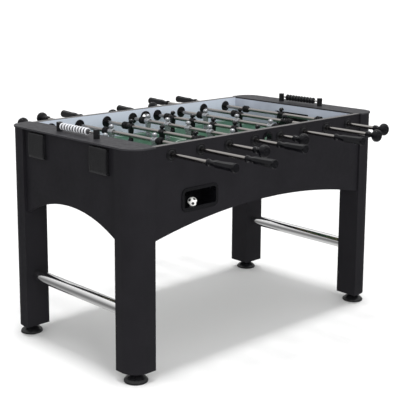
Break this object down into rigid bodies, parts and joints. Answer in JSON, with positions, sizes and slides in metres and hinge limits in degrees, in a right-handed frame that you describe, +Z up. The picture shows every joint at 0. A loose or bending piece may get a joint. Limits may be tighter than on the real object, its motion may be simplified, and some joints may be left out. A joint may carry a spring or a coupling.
{
  "type": "foosball table",
  "caption": "Foosball table on four legs: sliding and spinning rods with players, arched panels, ball return, bead scorers and fold-down drink holders.",
  "frame": {"origin": "on the floor under the middle of the table", "axes": "+X along the table to the right end, +Y across it to the rear long side, +Z up"},
  "size_m": [1.408, 1.498, 0.908],
  "materials": {
    "charcoal_laminate": "fine-textured charcoal laminate on fibreboard",
    "cap_laminate": "dark grey laminate, smooth",
    "wall_laminate": "pale blue-grey laminate",
    "field_laminate": "printed green laminate with white lines, satin",
    "batten_wood": "raw softwood",
    "leg_chrome": "polished",
    "rod_chrome": "polished",
    "black_plastic": "moulded, satin",
    "grip_plastic": "moulded, satin",
    "foot_plastic": "moulded, semi-gloss",
    "bumper_rubber": "matt",
    "silver_player": "silver plated",
    "black_player": "gloss black",
    "white_bead": "gloss",
    "black_bead": "gloss",
    "ball_white": "white with black patches"
  },
  "bodies": {
    "cabinet": {"front_side_panel": "charcoal_laminate", "rear_side_panel": "charcoal_laminate", "left_end_panel": "charcoal_laminate", "right_end_panel": "charcoal_laminate", "left_top_cap": "cap_laminate", "right_top_cap": "cap_laminate", "goal_walls": "wall_laminate", "playfield": "field_laminate", "playfield_battens": "batten_wood", "leg_front_left": "charcoal_laminate", "leg_front_right": "charcoal_laminate", "leg_rear_left": "charcoal_laminate", "leg_rear_right": "charcoal_laminate", "leg_tubes": "leg_chrome", "ball_track": "black_plastic", "ball_cups": "black_plastic", "rod_bearings": "black_plastic", "score_posts": "black_plastic", "cup_holder_backs": "black_plastic"},
    "bumpers_1": {"rod_bumpers_1": "bumper_rubber"},
    "bumpers_2": {"rod_bumpers_2": "bumper_rubber"},
    "bumpers_3": {"rod_bumpers_3": "bumper_rubber"},
    "bumpers_4": {"rod_bumpers_4": "bumper_rubber"},
    "bumpers_5": {"rod_bumpers_5": "bumper_rubber"},
    "bumpers_6": {"rod_bumpers_6": "bumper_rubber"},
    "bumpers_7": {"rod_bumpers_7": "bumper_rubber"},
    "bumpers_8": {"rod_bumpers_8": "bumper_rubber"},
    "rod_1": {"rod_tube_1": "rod_chrome", "rod_players_1": "silver_player", "rod_grips_1": "grip_plastic"},
    "rod_2": {"rod_tube_2": "rod_chrome", "rod_players_2": "silver_player", "rod_grips_2": "grip_plastic"},
    "rod_3": {"rod_tube_3": "rod_chrome", "rod_players_3": "black_player", "rod_grips_3": "grip_plastic"},
    "rod_4": {"rod_tube_4": "rod_chrome", "rod_players_4": "silver_player", "rod_grips_4": "grip_plastic"},
    "rod_5": {"rod_tube_5": "rod_chrome", "rod_players_5": "black_player", "rod_grips_5": "grip_plastic"},
    "rod_6": {"rod_tube_6": "rod_chrome", "rod_players_6": "silver_player", "rod_grips_6": "grip_plastic"},
    "rod_7": {"rod_tube_7": "rod_chrome", "rod_players_7": "black_player", "rod_grips_7": "grip_plastic"},
    "rod_8": {"rod_tube_8": "rod_chrome", "rod_players_8": "black_player", "rod_grips_8": "grip_plastic"},
    "left_beads": {"left_score_beads": "white_bead"},
    "right_beads": {"right_score_beads": "black_bead"},
    "holder_flap_front": {"cup_holder_flap_front": "black_plastic"},
    "holder_flap_rear": {"cup_holder_flap_rear": "black_plastic"},
    "ball": {"ball": "ball_white"},
    "foot_front_left": {"foot_front_left": "foot_plastic"},
    "foot_front_right": {"foot_front_right": "foot_plastic"},
    "foot_rear_left": {"foot_rear_left": "foot_plastic"},
    "foot_rear_right": {"foot_rear_right": "foot_plastic"}
  },
  "joints": [
    {"name": "rod_1_slide", "type": "slide", "parent": "cabinet", "child": "bumpers_1", "axis": [0, 1, 0], "range_m": [-0.123, 0.123]},
    {"name": "rod_1_spin", "type": "hinge", "parent": "bumpers_1", "child": "rod_1", "pos_m": [-0.511, 0, 0.834], "axis": [0, 1, 0], "continuous": true},
    {"name": "rod_2_slide", "type": "slide", "parent": "cabinet", "child": "bumpers_2", "axis": [0, 1, 0], "range_m": [-0.19, 0.166]},
    {"name": "rod_2_spin", "type": "hinge", "parent": "bumpers_2", "child": "rod_2", "pos_m": [-0.365, 0, 0.834], "axis": [0, 1, 0], "continuous": true},
    {"name": "rod_3_slide", "type": "slide", "parent": "cabinet", "child": "bumpers_3", "axis": [0, 1, 0], "range_m": [-0.114, 0.114]},
    {"name": "rod_3_spin", "type": "hinge", "parent": "bumpers_3", "child": "rod_3", "pos_m": [-0.219, 0, 0.834], "axis": [0, 1, 0], "continuous": true},
    {"name": "rod_4_slide", "type": "slide", "parent": "cabinet", "child": "bumpers_4", "axis": [0, 1, 0], "range_m": [-0.054, 0.054]},
    {"name": "rod_4_spin", "type": "hinge", "parent": "bumpers_4", "child": "rod_4", "pos_m": [-0.073, 0, 0.834], "axis": [0, 1, 0], "continuous": true},
    {"name": "rod_5_slide", "type": "slide", "parent": "cabinet", "child": "bumpers_5", "axis": [0, 1, 0], "range_m": [-0.054, 0.054]},
    {"name": "rod_5_spin", "type": "hinge", "parent": "bumpers_5", "child": "rod_5", "pos_m": [0.073, 0, 0.834], "axis": [0, 1, 0], "continuous": true},
    {"name": "rod_6_slide", "type": "slide", "parent": "cabinet", "child": "bumpers_6", "axis": [0, 1, 0], "range_m": [-0.114, 0.114]},
    {"name": "rod_6_spin", "type": "hinge", "parent": "bumpers_6", "child": "rod_6", "pos_m": [0.219, 0, 0.834], "axis": [0, 1, 0], "continuous": true},
    {"name": "rod_7_slide", "type": "slide", "parent": "cabinet", "child": "bumpers_7", "axis": [0, 1, 0], "range_m": [-0.166, 0.19]},
    {"name": "rod_7_spin", "type": "hinge", "parent": "bumpers_7", "child": "rod_7", "pos_m": [0.365, 0, 0.834], "axis": [0, 1, 0], "continuous": true},
    {"name": "rod_8_slide", "type": "slide", "parent": "cabinet", "child": "bumpers_8", "axis": [0, 1, 0], "range_m": [-0.123, 0.123]},
    {"name": "rod_8_spin", "type": "hinge", "parent": "bumpers_8", "child": "rod_8", "pos_m": [0.511, 0, 0.834], "axis": [0, 1, 0], "continuous": true},
    {"name": "left_beads_slide", "type": "slide", "parent": "cabinet", "child": "left_beads", "axis": [0, 1, 0], "range_m": [-0.0353, 0]},
    {"name": "right_beads_slide", "type": "slide", "parent": "cabinet", "child": "right_beads", "axis": [0, 1, 0], "range_m": [-0.0174, 0.0174]},
    {"name": "holder_flap_front_hinge", "type": "hinge", "parent": "cabinet", "child": "holder_flap_front", "pos_m": [-0.696, -0.195, 0.765], "axis": [0, -1, 0], "range_deg": [0, 90]},
    {"name": "holder_flap_rear_hinge", "type": "hinge", "parent": "cabinet", "child": "holder_flap_rear", "pos_m": [-0.696, 0.195, 0.765], "axis": [0, -1, 0], "range_deg": [0, 90]},
    {"name": "ball_lift", "type": "slide", "parent": "cabinet", "child": "ball", "axis": [0, -0.7071, 0.7071], "range_m": [0, 0.06]},
    {"name": "foot_front_left_turn", "type": "hinge", "parent": "cabinet", "child": "foot_front_left", "pos_m": [-0.647, -0.337, 0], "axis": [0, 0, 1], "continuous": true},
    {"name": "foot_front_right_turn", "type": "hinge", "parent": "cabinet", "child": "foot_front_right", "pos_m": [0.647, -0.337, 0], "axis": [0, 0, 1], "continuous": true},
    {"name": "foot_rear_left_turn", "type": "hinge", "parent": "cabinet", "child": "foot_rear_left", "pos_m": [-0.647, 0.337, 0], "axis": [0, 0, 1], "continuous": true},
    {"name": "foot_rear_right_turn", "type": "hinge", "parent": "cabinet", "child": "foot_rear_right", "pos_m": [0.647, 0.337, 0], "axis": [0, 0, 1], "continuous": true}
  ]
}
